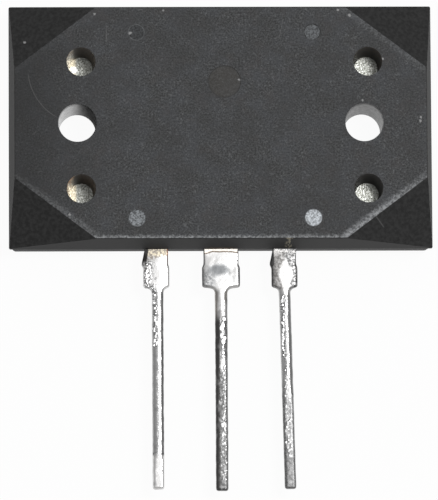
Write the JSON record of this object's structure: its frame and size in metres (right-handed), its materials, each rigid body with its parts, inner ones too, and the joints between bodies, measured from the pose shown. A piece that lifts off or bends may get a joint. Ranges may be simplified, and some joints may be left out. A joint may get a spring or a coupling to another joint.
{
  "type": "power transistor",
  "caption": "Flat black moulded power transistor with cut corners, screw holes through its ends, a bare metal back and tinned leads along one side.",
  "frame": {"origin": "on the heat face, midway between the two screw holes", "axes": "+Z out of the moulded front, +Y away from the leads, +X to the emitter side"},
  "size_m": [0.0364, 0.0419, 0.006],
  "materials": {
    "moulding": "fine eroded mould texture, near black",
    "plated_copper": "nickel plate on copper, satin",
    "tinned_copper": "dipped solder over copper, bright and uneven",
    "silicon": "metallised silicon",
    "solder": "dull solder",
    "aluminium_wire": "bright drawn wire"
  },
  "bodies": {
    "root": {"moulded_body": "moulding", "header_plate": "plated_copper", "base_lead": "tinned_copper", "collector_lead": "tinned_copper", "emitter_lead": "tinned_copper", "transistor_chip": "silicon", "chip_solder": "solder", "collector_solder": "solder", "base_wire": "aluminium_wire", "emitter_wire_1": "aluminium_wire", "emitter_wire_2": "aluminium_wire"}
  },
  "joints": []
}
